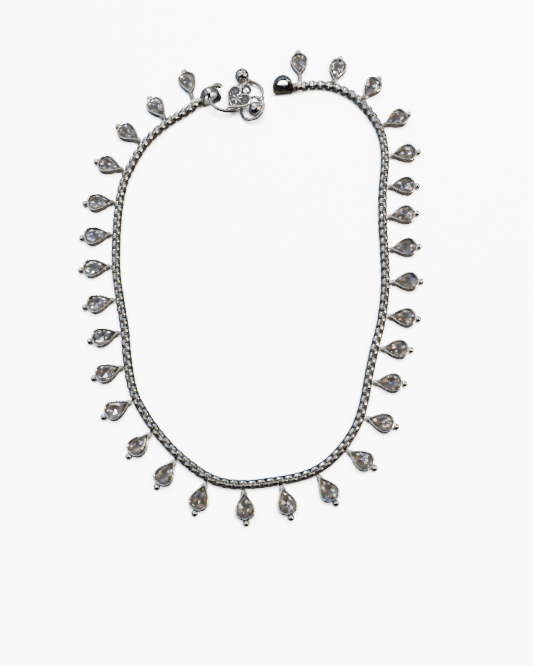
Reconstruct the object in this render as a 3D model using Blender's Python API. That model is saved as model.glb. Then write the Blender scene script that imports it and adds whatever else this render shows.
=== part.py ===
"""A payal anklet: a silver box chain with pear-shaped stone drops, laid open on a table.

The chain lies as one whole loop. Each end is soldered to a wide bail. The near bail holds an
S-hook, which carries a heart tag, two small round bells and a ring.

Frame: +X to the right and +Y away from the viewer, +Z up, with the floor at z = 0.
The origin is the middle of the anklet's footprint. Lengths below are in metres.
"""

import math

import bmesh
import bpy
from mathutils import Matrix, Vector

MM = 0.001

# Chain: square box links a LINK_PITCH apart, rolled onto one corner. Here a round tube stands
# for them, as thick as the links are from corner to corner.
LINK_PITCH = 0.995 * MM
CHAIN_DIAMETER = 2.4 * MM
TUBE_POINT_SPACING = 5.2 * MM
MOST_TUBE_POINTS = 80
# Where the chain's middle lies on the table, from the near bail round to the far one.
CHAIN_ROUTE = [
    (-13.9, 42.8), (-16.2, 40.9), (-20.1, 38.2), (-23.6, 35.1), (-26.6, 31.3), (-29.0, 26.6),
    (-30.7, 21.9), (-31.6, 15.5), (-31.8, 8.5), (-31.5, 0.0), (-30.3, -7.2), (-28.9, -14.3),
    (-28.0, -21.3), (-26.4, -28.4), (-23.3, -34.1), (-19.7, -38.8), (-15.2, -43.3),
    (-8.9, -47.6), (-2.8, -48.9), (4.3, -48.3), (11.3, -46.9), (16.1, -44.4), (20.1, -40.4),
    (23.0, -35.8), (24.7, -30.8), (25.9, -25.0), (27.4, -18.6), (29.3, -11.5), (30.4, -3.0),
    (30.4, 5.0), (30.3, 12.4), (30.6, 19.8), (31.4, 27.8), (30.9, 34.3), (28.6, 39.7),
    (24.4, 44.8), (19.0, 47.6), (14.0, 47.9), (10.9, 47.2),
]

# Drops: a pear-shaped setting with its stone, a round bead on the wide end and a lug at the tip.
LINKS_PER_DROP = 8
DROP_LENGTH = 6.1 * MM
DROP_WIDTH = 4.3 * MM
DROP_HEIGHT = 1.9 * MM
DROP_SIDES = 14
PEAR_SHARPNESS = 1.25
PEAR_MIDDLE = 0.6
WALL_TAPER = 0.94
RIM_WIDTH = 0.5 * MM
STONE_SEAT = 0.28 * MM
CROWN_WIDTH = 0.62 * MM
CROWN_HEIGHT = 0.45 * MM
BEAD_DIAMETER = 1.45 * MM
BEAD_HEIGHT = 0.85 * MM
BEAD_SINK = 0.22 * MM
BEAD_SIDES = 10
LUG_WIDTH = 1.1 * MM
LUG_THICKNESS = 0.3 * MM
LUG_REACH = 0.42 * MM
# Turn of each drop from square to the chain, in degrees, from the near bail round.
DROP_LEANS = [
    -24, -4, -2, 3, 9, 8, 4, 5, 8, 12, 4, 10, 8, 9, 5, 8,
    6, 7, 4, 9, 12, 5, 6, 6, 10, 8, 9, 4, 12, 3, -13,
]
# The first and the last drop are drawn out, so that their long loops show.
LONG_LOOP_LENGTH = 1.9 * MM
LONG_LOOP_WIDTH = 1.35 * MM
LONG_LOOP_WIRE = 0.42 * MM

# Bails: a wide band bent to a flat-bottomed arch, with a collar that takes the chain's end.
BAIL_LENGTH = 5.1 * MM
BAIL_HEIGHT = 4.2 * MM
BAIL_BAND = 2.1 * MM
BAIL_WALL = 0.45 * MM
BAIL_CORNER = 0.8 * MM
BAIL_ARCH_STEPS = 10
COLLAR_DIAMETER = 2.1 * MM
COLLAR_LENGTH = 0.9 * MM
COLLAR_SINK = 0.2 * MM
NEAR_BAIL_TURN = 24
NEAR_BAIL_LEAN = 13
FAR_BAIL_TURN = 3
FAR_BAIL_LEAN = -28

# S-hook: round wire bent in one plane, which leans down towards its free end.
HOOK_WIRE = 0.86 * MM
HOOK_SLOPE = 8
HOOK_LEVEL = 1.75 * MM
HOOK_LEVEL_AT_X = -2.9 * MM
HOOK_POINT_SPACING = 0.95 * MM
HOOK_ROUTE = [
    (-7.5, 46.7), (-8.7, 47.0), (-10.0, 46.5), (-10.8, 45.1), (-10.7, 43.4), (-10.1, 41.9),
    (-8.9, 40.8), (-7.3, 40.3), (-5.6, 40.3), (-4.1, 40.8), (-3.0, 41.9), (-2.8, 43.4),
    (-3.1, 45.0), (-3.1, 46.6), (-2.4, 47.9), (-1.0, 48.6), (0.6, 48.3), (1.8, 47.2),
    (2.1, 45.8), (1.6, 44.4), (0.8, 43.7),
]

# Ring on the S-hook's free end, tilted over the hook's wire.
RING_DIAMETER = 6.7 * MM
RING_WIRE = 0.78 * MM
RING_PLACE = (-0.3, 41.25)
RING_TILT = 24
RING_LIFT = 0.1 * MM

# Heart tag: a flat heart with a raised rim and an eyelet between its lobes.
HEART_LENGTH = 6.5 * MM
HEART_WIDTH = 6.5 * MM
HEART_THICKNESS = 0.75 * MM
HEART_RIM = 0.5 * MM
HEART_RECESS = 0.25 * MM
HEART_SIDES = 22
HEART_TURN = 48
HEART_LEVEL = 2.95 * MM
HEART_CLEFT = 0.88
EYELET_DIAMETER = 2.7 * MM
EYELET_HOLE = 1.25 * MM
EYELET_THICKNESS = 0.45 * MM
EYELET_OVERLAP = 0.1 * MM
EYELET_PLACE = (-1.836, 45.28)
TAG_RING_DIAMETER = 3.6 * MM
TAG_RING_WIRE = 0.4 * MM
TAG_RING_DIP = 45
TAG_ON_HOOK = (-3.1, 46.4)

# Bells: hollow balls with a slit below and a wire loop on top.
BELL_DIAMETER = 3.5 * MM
BELL_WALL = 0.4 * MM
BELL_SLIT = 0.45 * MM
BELL_SLIT_REACH = 1.28 * MM
BELL_LOOP_DIAMETER = 2.1 * MM
BELL_LOOP_WIRE = 0.36 * MM
BELL_SIDES = 14
BELL_LOOP_SINK = 0.25 * MM
BELL_1_ON_HOOK = (-0.9, 48.6)
BELL_1_SIDE = 142
BELL_2_ROUND_RING = 35
BELL_2_CLEARANCE = 0.02 * MM
BELL_2_MOST_SWING = 60

# Space between pieces that touch on the real anklet.
GAP = 0.3 * MM
RING_SIDES = 16
WIRE_SIDES = 6
# Half the stretch of a curve over which its direction is taken.
DIRECTION_REACH = 0.6 * MM
SHARP_ANGLE = 35

# Colour and roughness of each kind of piece. All of them are silver.
FINISHES = {
    "chain": ((0.80, 0.80, 0.79), 0.22),
    "drop": ((0.84, 0.82, 0.80), 0.18),
    "bail": ((0.76, 0.73, 0.69), 0.20),
    "hook": ((0.82, 0.80, 0.77), 0.14),
    "ring": ((0.84, 0.83, 0.81), 0.16),
    "tag": ((0.80, 0.79, 0.77), 0.18),
    "bell": ((0.86, 0.86, 0.85), 0.12),
}


def clear_scene():
    for obj in list(bpy.data.objects):
        bpy.data.objects.remove(obj, do_unlink=True)


def silver(kind):
    """The material of one kind of piece."""
    colour, roughness = FINISHES[kind]
    made = bpy.data.materials.new(f"{kind} silver")
    made.use_nodes = True
    shader = made.node_tree.nodes["Principled BSDF"]
    shader.inputs["Base Color"].default_value = (*colour, 1.0)
    shader.inputs["Roughness"].default_value = roughness
    shader.inputs["Metallic"].default_value = 1.0
    return made


def mesh_from(bm, name):
    bmesh.ops.recalc_face_normals(bm, faces=bm.faces)
    mesh = bpy.data.meshes.new(name)
    bm.to_mesh(mesh)
    bm.free()
    return mesh


def add_object(name, data, look):
    """Puts data into the scene as its own object, with one material."""
    obj = bpy.data.objects.new(name, data)
    bpy.context.scene.collection.objects.link(obj)
    data.materials.clear()
    data.materials.append(look)
    if obj.type == "MESH":
        data.shade_smooth()
        data.set_sharp_from_angle(angle=math.radians(SHARP_ANGLE))
    return obj


def joined(name, base, others, cut=()):
    """One mesh: base with the others added to it and the cut ones taken away."""
    parts = [(base, None)] + [(mesh, "UNION") for mesh in others]
    parts += [(mesh, "DIFFERENCE") for mesh in cut]
    helpers = []
    for mesh, operation in parts:
        helper = bpy.data.objects.new("helper", mesh)
        bpy.context.scene.collection.objects.link(helper)
        helper.hide_render = True
        helper.display_type = "WIRE"
        if operation:
            boolean = helpers[0].modifiers.new(operation.lower(), "BOOLEAN")
            boolean.operation = operation
            boolean.solver = "EXACT"
            boolean.object = helper
        helpers.append(helper)
    bpy.context.view_layer.update()
    graph = bpy.context.evaluated_depsgraph_get()
    made = bpy.data.meshes.new_from_object(helpers[0].evaluated_get(graph))
    made.name = name
    for helper in helpers:
        bpy.data.objects.remove(helper, do_unlink=True)
    return made


def smooth_path(points, samples=12):
    """A Catmull-Rom curve through the points, as a dense list."""
    ends = [2 * points[0] - points[1]] + points + [2 * points[-1] - points[-2]]
    path = []
    for a, b, c, d in zip(ends, ends[1:], ends[2:], ends[3:]):
        for step in range(samples):
            t = step / samples
            path.append(
                0.5 * (2 * b + (c - a) * t + (2 * a - 5 * b + 4 * c - d) * t * t
                       + (3 * b - a - 3 * c + d) * t * t * t)
            )
    return path + [points[-1]]


class Path:
    """A curve measured by the length along it."""

    def __init__(self, points):
        self.points = smooth_path(points)
        self.marks = [0.0]
        for a, b in zip(self.points, self.points[1:]):
            self.marks.append(self.marks[-1] + (b - a).length)
        self.length = self.marks[-1]

    def at(self, distance):
        index = 0
        while index < len(self.marks) - 2 and self.marks[index + 1] < distance:
            index += 1
        span = self.marks[index + 1] - self.marks[index]
        share = min(max((distance - self.marks[index]) / span, 0.0), 1.0)
        return self.points[index].lerp(self.points[index + 1], share)

    def direction(self, distance):
        ahead = self.at(min(distance + DIRECTION_REACH, self.length))
        return (ahead - self.at(max(distance - DIRECTION_REACH, 0.0))).normalized()

    def nearest(self, x, y):
        """The length along the curve at its point nearest to (x, y)."""
        flat = Vector((x, y))
        index = min(range(len(self.points)), key=lambda i: (self.points[i].xy - flat).length)
        return self.marks[index]

    def evenly(self, count):
        return [self.at(self.length * step / (count - 1)) for step in range(count)]


def flat_points(route, height):
    return [Vector((x * MM, y * MM, height)) for x, y in route]


def wire_curve(name, points, diameter, resolution):
    """A tube with closed ends along the points."""
    curve = bpy.data.curves.new(name, "CURVE")
    curve.dimensions = "3D"
    curve.bevel_depth = diameter / 2
    curve.bevel_resolution = resolution
    curve.use_fill_caps = True
    spline = curve.splines.new("POLY")
    spline.points.add(len(points) - 1)
    for knot, place in zip(spline.points, points):
        knot.co = (*place, 1.0)
    return curve


def ring_mesh(name, diameter, wire, place=Matrix(), stretch=1.0):
    """A closed wire ring in its own XY plane, drawn out along X by stretch."""
    bm = bmesh.new()
    bmesh.ops.create_circle(bm, segments=WIRE_SIDES, radius=wire / 2)
    bmesh.ops.rotate(bm, verts=bm.verts, matrix=Matrix.Rotation(math.pi / 2, 3, "X"))
    bmesh.ops.translate(bm, verts=bm.verts, vec=((diameter - wire) / 2, 0, 0))
    bmesh.ops.spin(bm, geom=bm.verts[:] + bm.edges[:], axis=(0, 0, 1), angle=math.tau,
                   steps=RING_SIDES, use_merge=True)
    for vert in bm.verts:
        radius = math.hypot(vert.co.x, vert.co.y)
        vert.co.x += vert.co.x / radius * (stretch - 1) * diameter / 2
    bmesh.ops.transform(bm, matrix=place, verts=bm.verts)
    return mesh_from(bm, name)


def pear_outline(length, width):
    """Points round a pear with its tip at the origin and its wide end at x = length."""
    def half_width(turn):
        return math.sin(turn) * math.sin(turn / 2) ** PEAR_SHARPNESS

    widest = max(half_width(math.pi * step / 90) for step in range(91))
    outline = []
    for step in range(DROP_SIDES):
        turn = math.tau * step / DROP_SIDES
        side = math.copysign(1, math.pi - turn) if step else 0
        x = length * (1 - math.cos(turn)) / 2
        y = side * width / 2 * half_width(turn if turn <= math.pi else math.tau - turn) / widest
        outline.append((x, y))
    return outline


def stepped(bm, face, length, width, rise, keep=False):
    """Extrudes a pear-shaped face to another length and width, and raises it."""
    old_length = max(v.co.x for v in face.verts) - min(v.co.x for v in face.verts)
    old_width = max(v.co.y for v in face.verts) - min(v.co.y for v in face.verts)
    middle = DROP_LENGTH * PEAR_MIDDLE
    moved = bmesh.ops.extrude_face_region(bm, geom=[face])
    if not keep:
        bmesh.ops.delete(bm, geom=[face], context="FACES_ONLY")
    new_face = next(item for item in moved["geom"] if isinstance(item, bmesh.types.BMFace))
    for vert in new_face.verts:
        vert.co.x = middle + (vert.co.x - middle) * length / old_length
        vert.co.y *= width / old_width
        vert.co.z += rise
    return new_face


def setting_mesh():
    """The pear setting and its cut stone, as one solid standing on z = 0."""
    bm = bmesh.new()
    outline = pear_outline(DROP_LENGTH, DROP_WIDTH)
    foot = bm.faces.new([bm.verts.new((x, y, 0)) for x, y in outline])
    for vert in foot.verts:
        vert.co.x += (DROP_LENGTH * PEAR_MIDDLE - vert.co.x) * (1 - WALL_TAPER)
        vert.co.y *= WALL_TAPER
    stone_length = DROP_LENGTH - 2 * RIM_WIDTH
    stone_width = DROP_WIDTH - 2 * RIM_WIDTH
    rim = stepped(bm, foot, DROP_LENGTH, DROP_WIDTH, DROP_HEIGHT, keep=True)
    seat_edge = stepped(bm, rim, stone_length, stone_width, 0)
    girdle = stepped(bm, seat_edge, stone_length, stone_width, -STONE_SEAT)
    stepped(bm, girdle, stone_length - 2 * CROWN_WIDTH, stone_width - 2 * CROWN_WIDTH,
            CROWN_HEIGHT)
    return mesh_from(bm, "setting")


def bead_mesh():
    bm = bmesh.new()
    place = Matrix.Translation((DROP_LENGTH + BEAD_DIAMETER / 2 - BEAD_SINK, 0, BEAD_HEIGHT))
    bmesh.ops.create_uvsphere(bm, u_segments=BEAD_SIDES, v_segments=BEAD_SIDES // 2,
                              radius=BEAD_DIAMETER / 2, matrix=place)
    return mesh_from(bm, "bead")


def lug_mesh():
    """A flat tongue below the setting's tip, which reaches in under the chain."""
    bm = bmesh.new()
    bmesh.ops.create_cone(bm, cap_ends=True, segments=8, radius1=LUG_WIDTH / 2,
                          radius2=LUG_WIDTH / 2, depth=LUG_THICKNESS)
    centre = (LUG_WIDTH / 2 - LUG_REACH, 0, LUG_THICKNESS / 2)
    bmesh.ops.translate(bm, verts=bm.verts, vec=centre)
    return mesh_from(bm, "lug")


def long_loop_mesh():
    """An upright oval loop on the tip of a drop that is drawn out from the chain."""
    stretch = LONG_LOOP_LENGTH / LONG_LOOP_WIDTH
    upright = Matrix.Rotation(math.pi / 2, 4, "X")
    centre = (GAP - LONG_LOOP_LENGTH / 2, 0, LONG_LOOP_WIDTH / 2 + GAP)
    return ring_mesh("long loop", LONG_LOOP_WIDTH, LONG_LOOP_WIRE,
                     Matrix.Translation(centre) @ upright, stretch)


def make_drops(chain):
    """One drop every LINKS_PER_DROP links, each lying flat and pointing away from the loop."""
    setting = setting_mesh()
    bead = bead_mesh()
    pushed_in = joined("drop", setting, [bead, lug_mesh()])
    drawn_out = joined("end drop", setting, [bead, long_loop_mesh()])
    look = silver("drop")
    pitch = LINKS_PER_DROP * LINK_PITCH
    count = int(chain.length / pitch) + 1
    start = (chain.length - (count - 1) * pitch) / 2
    for index in range(count):
        at_end = index in (0, count - 1)
        reach = LONG_LOOP_LENGTH - GAP if at_end else 0
        along = start + index * pitch
        forward = chain.direction(along)
        outward = Vector((forward.y, -forward.x, 0))
        lean = Matrix.Rotation(math.radians(DROP_LEANS[index % len(DROP_LEANS)]), 3, "Z")
        outward = lean @ outward
        tip = chain.at(along) + outward * (CHAIN_DIAMETER / 2 + GAP + reach)
        drop = add_object(f"drop_{index + 1:02d}", drawn_out if at_end else pushed_in, look)
        drop.location = (tip.x, tip.y, 0)
        drop.rotation_euler = (0, 0, math.atan2(outward.y, outward.x))


def arch_loop(bm, inset):
    """The bail's outline in its XZ plane, a distance inset inside the outer one."""
    half = BAIL_LENGTH / 2 - inset
    shoulder = BAIL_CORNER
    rise = BAIL_HEIGHT - inset - shoulder
    corner = BAIL_CORNER - inset
    profile = [(corner - half, inset), (half - corner, inset)]
    for step in range(BAIL_ARCH_STEPS + 1):
        turn = math.pi * step / BAIL_ARCH_STEPS
        profile.append((half * math.cos(turn), shoulder + rise * math.sin(turn)))
    verts = [bm.verts.new((x, 0, z)) for x, z in profile]
    return [bm.edges.new(pair) for pair in zip(verts, verts[1:] + verts[:1])]


def bail_mesh():
    """The arched band with its collar at -X, standing on z = 0."""
    bm = bmesh.new()
    bmesh.ops.bridge_loops(bm, edges=arch_loop(bm, 0) + arch_loop(bm, BAIL_WALL))
    bmesh.ops.translate(bm, verts=bm.verts, vec=(0, -BAIL_BAND / 2, 0))
    wide = bmesh.ops.extrude_face_region(bm, geom=bm.faces[:])
    far = [item for item in wide["geom"] if isinstance(item, bmesh.types.BMVert)]
    bmesh.ops.translate(bm, verts=far, vec=(0, BAIL_BAND, 0))
    band = mesh_from(bm, "band")
    bm = bmesh.new()
    bmesh.ops.create_cone(bm, cap_ends=True, segments=BEAD_SIDES, radius1=COLLAR_DIAMETER / 2,
                          radius2=COLLAR_DIAMETER / 2, depth=COLLAR_LENGTH + COLLAR_SINK)
    bmesh.ops.rotate(bm, verts=bm.verts, matrix=Matrix.Rotation(math.pi / 2, 3, "Y"))
    middle = -BAIL_LENGTH / 2 - (COLLAR_LENGTH - COLLAR_SINK) / 2
    bmesh.ops.translate(bm, verts=bm.verts, vec=(middle, 0, CHAIN_DIAMETER / 2))
    return joined("bail", band, [mesh_from(bm, "collar")])


def bail_place(chain_end, turn, lean):
    """Where a bail stands so that its collar meets the chain's end, leaning about the collar."""
    heading = Matrix.Rotation(math.radians(turn), 4, "Z")
    offset = heading @ Vector((BAIL_LENGTH / 2 + COLLAR_LENGTH + GAP, 0, 0))
    lean = math.radians(lean)
    axis = CHAIN_DIAMETER / 2
    reach_down = BAIL_BAND / 2 * abs(math.sin(lean)) + axis * math.cos(lean)
    place = Matrix.Translation((chain_end.x + offset.x, chain_end.y + offset.y, reach_down))
    return place @ heading @ Matrix.Rotation(-lean, 4, "X") @ Matrix.Translation((0, 0, -axis))


def hook_level(x):
    """Height of the S-hook's middle line at x."""
    return HOOK_LEVEL - (x - HOOK_LEVEL_AT_X) * math.tan(math.radians(HOOK_SLOPE))


def make_hook():
    points = [Vector((x * MM, y * MM, hook_level(x * MM))) for x, y in HOOK_ROUTE]
    path = Path(points)
    count = int(path.length / HOOK_POINT_SPACING) + 1
    add_object("s_hook", wire_curve("s_hook", path.evenly(count), HOOK_WIRE, 1), silver("hook"))
    return path


def ring_place():
    """The charm ring's plane: its left side lies on the floor and its right side is raised."""
    tilt = math.radians(RING_TILT)
    radius = (RING_DIAMETER - RING_WIRE) / 2
    height = RING_LIFT + RING_WIRE / 2 + radius * math.sin(tilt)
    middle = Vector((RING_PLACE[0] * MM, RING_PLACE[1] * MM, height))
    return Matrix.Translation(middle) @ Matrix.Rotation(-tilt, 4, "Y")


def heart_outline(length, width):
    """Points round a heart with its tip at the origin and its cleft towards +X."""
    raw = []
    for step in range(HEART_SIDES):
        turn = math.tau * (step + 0.5) / HEART_SIDES
        across = math.sin(turn) ** 3
        along = (13 * math.cos(turn) - 5 * math.cos(2 * turn)
                 - 2 * math.cos(3 * turn) - math.cos(4 * turn))
        raw.append((along, across))
    low = min(x for x, _ in raw)
    high = max(x for x, _ in raw)
    reach = max(y for _, y in raw)
    return [((x - low) / (high - low) * length, y / reach * width / 2) for x, y in raw]


def eyelet_middle():
    """Distance of the eyelet's middle from the heart's tip, along its axis."""
    return HEART_LENGTH * HEART_CLEFT - EYELET_OVERLAP + EYELET_DIAMETER / 2


def heart_mesh():
    bm = bmesh.new()
    outline = heart_outline(HEART_LENGTH, HEART_WIDTH)
    base = bm.faces.new([bm.verts.new((x, y, 0)) for x, y in outline])
    raised = bmesh.ops.extrude_face_region(bm, geom=[base])
    verts = [item for item in raised["geom"] if isinstance(item, bmesh.types.BMVert)]
    bmesh.ops.translate(bm, verts=verts, vec=(0, 0, HEART_THICKNESS))
    bmesh.ops.recalc_face_normals(bm, faces=bm.faces)
    top = next(item for item in raised["geom"] if isinstance(item, bmesh.types.BMFace))
    bmesh.ops.inset_region(bm, faces=[top], thickness=HEART_RIM, use_even_offset=False)
    field = bmesh.ops.extrude_face_region(bm, geom=[top])
    bmesh.ops.delete(bm, geom=[top], context="FACES_ONLY")
    sunk = next(item for item in field["geom"] if isinstance(item, bmesh.types.BMFace))
    bmesh.ops.translate(bm, verts=sunk.verts, vec=(0, 0, -HEART_RECESS))
    plate = mesh_from(bm, "heart plate")
    wire = (EYELET_DIAMETER - EYELET_HOLE) / 2
    flat = Matrix.Diagonal((1, 1, EYELET_THICKNESS / wire, 1))
    centre = Matrix.Translation((eyelet_middle(), 0, EYELET_THICKNESS / 2)) @ flat
    return joined("heart", plate, [ring_mesh("eyelet", EYELET_DIAMETER, wire, centre)])


def heart_place():
    """The heart hangs from its eyelet, so a longer heart reaches further from the hook."""
    eyelet = (EYELET_PLACE[0] * MM, EYELET_PLACE[1] * MM, HEART_LEVEL)
    turned = Matrix.Translation(eyelet) @ Matrix.Rotation(math.radians(HEART_TURN), 4, "Z")
    return turned @ Matrix.Translation((-eyelet_middle(), 0, 0))


def make_heart(hook, ring_silver):
    """The tag and the small ring that joins its eyelet to the S-hook's wire below."""
    tag = add_object("heart_tag", heart_mesh(), silver("tag"))
    tag.matrix_world = heart_place()
    eyelet = heart_place() @ Vector((eyelet_middle(), 0, EYELET_THICKNESS / 2))
    wire = hook.at(hook.nearest(TAG_ON_HOOK[0] * MM, TAG_ON_HOOK[1] * MM))
    level = Vector((wire.x - eyelet.x, wire.y - eyelet.y, 0)).normalized()
    up = Vector((0, 0, 1))
    radius = (TAG_RING_DIAMETER - TAG_RING_WIRE) / 2
    dip = math.radians(TAG_RING_DIP)
    middle = eyelet + radius * (math.cos(dip) * level - math.sin(dip) * up)
    turn = Matrix((level, up, level.cross(up))).transposed().to_4x4()
    place = Matrix.Translation(middle) @ turn
    ring = ring_mesh("tag_ring", TAG_RING_DIAMETER, TAG_RING_WIRE, place)
    add_object("tag_ring", ring, ring_silver)


def bell_mesh():
    """A hollow ball round the origin, with its loop towards +X and its slit across -X."""
    outer = bmesh.new()
    bmesh.ops.create_uvsphere(outer, u_segments=BELL_SIDES, v_segments=BELL_SIDES // 2 + 1,
                              radius=BELL_DIAMETER / 2,
                              matrix=Matrix.Rotation(math.pi / 2, 4, "Y"))
    inner = bmesh.new()
    bmesh.ops.create_uvsphere(inner, u_segments=BEAD_SIDES, v_segments=BEAD_SIDES // 2 + 1,
                              radius=BELL_DIAMETER / 2 - BELL_WALL,
                              matrix=Matrix.Rotation(math.pi / 2, 4, "Y"))
    slit = bmesh.new()
    bmesh.ops.create_cube(slit, size=1.0)
    bmesh.ops.scale(slit, verts=slit.verts,
                    vec=(2 * BELL_SLIT_REACH, BELL_DIAMETER, BELL_SLIT))
    bmesh.ops.translate(slit, verts=slit.verts, vec=(-BELL_DIAMETER / 2, 0, 0))
    middle = BELL_DIAMETER / 2 + BELL_LOOP_DIAMETER / 2 - BELL_LOOP_SINK
    loop = ring_mesh("bell loop", BELL_LOOP_DIAMETER, BELL_LOOP_WIRE,
                     Matrix.Translation((middle, 0, 0)))
    cuts = [mesh_from(inner, "hollow"), mesh_from(slit, "slit")]
    return joined("bell", mesh_from(outer, "ball"), [loop], cuts)


def bell_centre(wire_point, ball_from_wire):
    """The middle of a bell that lies on the floor, hung at wire_point towards an angle."""
    reach = BELL_DIAMETER / 2 + BELL_LOOP_DIAMETER / 2 - BELL_LOOP_SINK
    drop = BELL_DIAMETER / 2 - wire_point.z
    level = math.sqrt(reach ** 2 - drop ** 2)
    turn = math.radians(ball_from_wire)
    return wire_point + Vector((level * math.cos(turn), level * math.sin(turn), drop))


def side_against_ring(on_ring, place):
    """The side towards which a bell hung inside the ring lies against the ring's wire."""
    radius = (RING_DIAMETER - RING_WIRE) / 2
    least = (BELL_DIAMETER + RING_WIRE) / 2 + BELL_2_CLEARANCE
    inward = place.translation - on_ring
    side = math.degrees(math.atan2(inward.y, inward.x))
    for _ in range(BELL_2_MOST_SWING):
        ball = place.inverted() @ bell_centre(on_ring, side + 1)
        if math.hypot(ball.xy.length - radius, ball.z) < least:
            break
        side += 1
    return side


def hang_bell(name, mesh, wire_point, wire_direction, ball_from_wire, look):
    """Lays a bell on the floor with its loop round the wire at wire_point."""
    centre = bell_centre(wire_point, ball_from_wire)
    axis = (wire_point - centre).normalized()
    # The loop's plane stands square to the wire as far as the bell's axis allows.
    normal = (wire_direction - axis * wire_direction.dot(axis)).normalized()
    side = normal.cross(axis)
    turned = Matrix((axis, side, normal)).transposed().to_4x4()
    bell = add_object(name, mesh, look)
    bell.matrix_world = Matrix.Translation(centre) @ turned


def centre_on_origin():
    """Moves everything so that the footprint's middle is the origin and the floor is z = 0."""
    bpy.context.view_layer.update()
    graph = bpy.context.evaluated_depsgraph_get()
    corners = []
    for obj in bpy.context.scene.collection.objects:
        mesh = obj.evaluated_get(graph).to_mesh()
        corners += [obj.matrix_world @ vert.co for vert in mesh.vertices]
        obj.evaluated_get(graph).to_mesh_clear()
    low = Vector(map(min, zip(*corners)))
    high = Vector(map(max, zip(*corners)))
    shift = Vector((-(low.x + high.x) / 2, -(low.y + high.y) / 2, -low.z))
    for obj in bpy.context.scene.collection.objects:
        obj.matrix_world = Matrix.Translation(shift) @ obj.matrix_world


def main():
    clear_scene()
    chain = Path(flat_points(CHAIN_ROUTE, CHAIN_DIAMETER / 2))
    count = min(MOST_TUBE_POINTS, int(chain.length / TUBE_POINT_SPACING) + 1)
    tube = wire_curve("chain", chain.evenly(count), CHAIN_DIAMETER, 2)
    add_object("chain", tube, silver("chain"))
    make_drops(chain)

    bail = bail_mesh()
    bail_silver = silver("bail")
    near = add_object("bail_near", bail, bail_silver)
    near.matrix_world = bail_place(chain.at(0), NEAR_BAIL_TURN, NEAR_BAIL_LEAN)
    far = add_object("bail_far", bail, bail_silver)
    far.matrix_world = bail_place(chain.at(chain.length), 180 + FAR_BAIL_TURN, FAR_BAIL_LEAN)

    hook = make_hook()
    ring_silver = silver("ring")
    ring = ring_mesh("charm_ring", RING_DIAMETER, RING_WIRE, ring_place())
    add_object("charm_ring", ring, ring_silver)
    make_heart(hook, ring_silver)

    bell = bell_mesh()
    look = silver("bell")
    along = hook.nearest(BELL_1_ON_HOOK[0] * MM, BELL_1_ON_HOOK[1] * MM)
    hang_bell("bell_1", bell, hook.at(along), hook.direction(along), BELL_1_SIDE, look)
    turn = math.radians(BELL_2_ROUND_RING)
    radius = (RING_DIAMETER - RING_WIRE) / 2
    on_ring = ring_place() @ Vector((radius * math.cos(turn), radius * math.sin(turn), 0))
    round_ring = Vector((-math.sin(turn), math.cos(turn), 0))
    side = side_against_ring(on_ring, ring_place())
    hang_bell("bell_2", bell, on_ring, round_ring, side, look)
    centre_on_origin()


main()
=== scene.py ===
"""The payal anklet's finished look: silver box chain, bezel-set drops and the charm clasp.

Every piece is modelled in metres, where the fixed model has it, with its place in its mesh.
"""

import math
import random

import bmesh
import bpy
from mathutils import Matrix, Vector


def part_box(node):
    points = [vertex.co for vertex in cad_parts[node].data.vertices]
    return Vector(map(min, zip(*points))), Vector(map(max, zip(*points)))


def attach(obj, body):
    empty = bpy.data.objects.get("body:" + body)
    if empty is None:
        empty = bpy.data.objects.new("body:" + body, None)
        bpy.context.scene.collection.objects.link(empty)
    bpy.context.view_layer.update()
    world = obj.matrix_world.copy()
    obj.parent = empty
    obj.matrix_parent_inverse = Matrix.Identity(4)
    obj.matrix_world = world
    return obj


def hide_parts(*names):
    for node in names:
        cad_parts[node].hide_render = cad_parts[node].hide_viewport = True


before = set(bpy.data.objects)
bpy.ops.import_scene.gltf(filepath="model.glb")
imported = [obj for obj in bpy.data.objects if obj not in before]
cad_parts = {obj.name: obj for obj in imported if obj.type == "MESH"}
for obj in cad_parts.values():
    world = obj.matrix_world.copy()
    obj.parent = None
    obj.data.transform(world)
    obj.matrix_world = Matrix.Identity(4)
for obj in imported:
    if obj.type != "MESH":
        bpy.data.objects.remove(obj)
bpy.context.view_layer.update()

MM = 0.001
chance = random.Random(7)

SHARP_ANGLE = 32
# Half the stretch of a curve over which its direction is taken.
DIRECTION_REACH = 0.6 * MM

# The photograph's camera: its focal length in pixels of a 533 x 666 picture.
PICTURE_HEIGHT = 666
FOCAL_LENGTH = 870
CAMERA_TILT = 15.276
CAMERA_PLACE = (3.129 * MM, -66.782 * MM, 190.70 * MM)

TOP_POWER = 42.0
WINDOW_POWER = 3.0
LAMP_POWER = 1.5

# The chain's middle line on the table, from the near bail round to the far one.
CHAIN_ROUTE = [
    (-13.9, 42.8), (-16.2, 40.9), (-20.1, 38.2), (-23.6, 35.1), (-26.6, 31.3), (-29.0, 26.6),
    (-30.7, 21.9), (-31.6, 15.5), (-31.8, 8.5), (-31.5, 0.0), (-30.3, -7.2), (-28.9, -14.3),
    (-28.0, -21.3), (-26.4, -28.4), (-23.3, -34.1), (-19.7, -38.8), (-15.2, -43.3),
    (-8.9, -47.6), (-2.8, -48.9), (4.3, -48.3), (11.3, -46.9), (16.1, -44.4), (20.1, -40.4),
    (23.0, -35.8), (24.7, -30.8), (25.9, -25.0), (27.4, -18.6), (29.3, -11.5), (30.4, -3.0),
    (30.4, 5.0), (30.3, 12.4), (30.6, 19.8), (31.4, 27.8), (30.9, 34.3), (28.6, 39.7),
    (24.4, 44.8), (19.0, 47.6), (14.0, 47.9), (10.9, 47.2),
]
CHAIN_DIAMETER = 2.4 * MM
LINK_PITCH = 0.995 * MM
LINK_LENGTH = 1.72 * MM
LINK_HEIGHT = 2.08 * MM
LINK_BAND = 1.28 * MM
LINK_WALL = 0.34 * MM
LINK_CORNER = 0.45 * MM
LINK_EDGE = 0.3 * MM
LINK_ROLL = 45
LINK_LOOSENESS = 5
LINK_YAW = 3
LINK_SHARP_ANGLE = 55
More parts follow.
